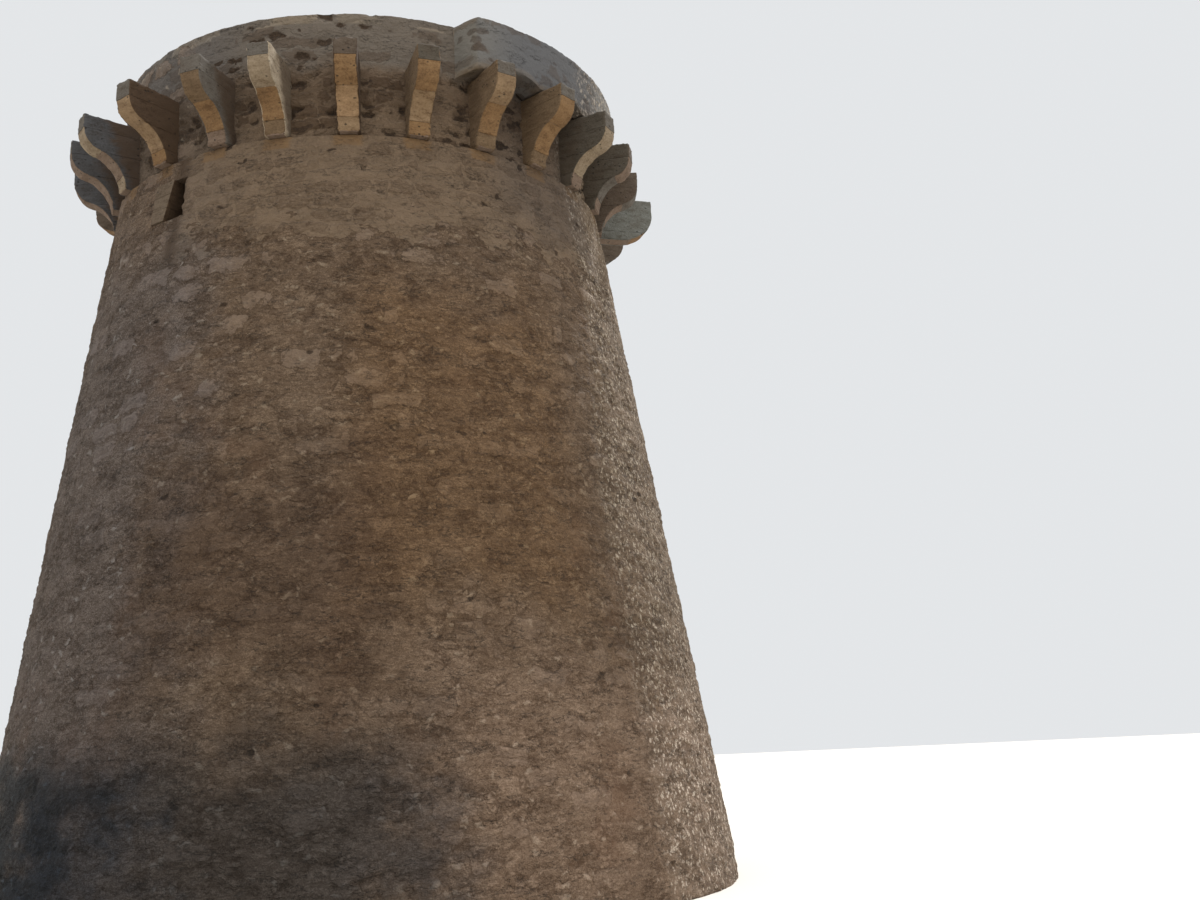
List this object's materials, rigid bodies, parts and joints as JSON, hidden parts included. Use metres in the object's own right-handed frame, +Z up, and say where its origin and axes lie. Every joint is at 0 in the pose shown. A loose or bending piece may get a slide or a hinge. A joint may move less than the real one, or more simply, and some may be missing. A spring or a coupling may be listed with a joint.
{
  "type": "round coastal watchtower",
  "caption": "Round tapered masonry watchtower with a solid lower body, a raised vaulted chamber, a loophole, a raised doorway and a ring of corbels under a low parapet.",
  "frame": {"origin": "centre of the round base at the lowest ground that the wall meets", "axes": "+Z up the axis of the tower; -Y faces the side with the loophole, +Y the side with the doorway"},
  "size_m": [8.66, 8.6598, 9.68],
  "materials": {
    "rubble_wall": "mortared rubble, rough and weathered, warm brown",
    "rubble_core": "rough rubble and lime fill",
    "dressed_stone": "roughly squared blocks, matt",
    "stone_paving": "worn lime and stone paving, matt",
    "vault_masonry": "rubble vault, matt",
    "corbel_stone": "weathered porous stone, ochre and grey tan, pitted",
    "upper_masonry": "rubble with smoother lime render, grey tan, pitted"
  },
  "bodies": {
    "root": {"core_fill": "rubble_core", "chamber_floor": "stone_paving", "wall_front_right": "rubble_wall", "wall_right_front": "rubble_wall", "wall_right_back": "rubble_wall", "wall_back_right": "rubble_wall", "wall_back_left": "rubble_wall", "wall_left_back": "rubble_wall", "wall_left_front": "rubble_wall", "wall_front_left": "rubble_wall", "wall_under_loophole": "rubble_wall", "loophole_sill": "dressed_stone", "loophole_jambs": "dressed_stone", "loophole_lintel": "dressed_stone", "wall_under_doorway": "rubble_wall", "doorway_threshold": "dressed_stone", "doorway_jamb_left": "dressed_stone", "doorway_jamb_right": "dressed_stone", "doorway_lintel": "dressed_stone", "wall_over_doorway": "rubble_wall", "vault": "vault_masonry", "terrace_paving": "stone_paving", "corbel_wall_front_right": "upper_masonry", "corbel_wall_back_right": "upper_masonry", "corbel_wall_back_left": "upper_masonry", "corbel_wall_front_left": "upper_masonry", "corbels_front_right": "corbel_stone", "corbels_back_right": "corbel_stone", "corbels_back_left": "corbel_stone", "corbels_front_left": "corbel_stone", "long_corbel": "corbel_stone", "parapet_front_right": "upper_masonry", "parapet_right_front": "upper_masonry", "parapet_right_back": "upper_masonry", "parapet_back_right": "upper_masonry", "parapet_back_left": "upper_masonry", "parapet_left_back": "upper_masonry", "parapet_left_front": "upper_masonry", "parapet_front_left": "upper_masonry", "projecting_parapet_front": "upper_masonry", "projecting_parapet_back": "upper_masonry"}
  },
  "joints": []
}
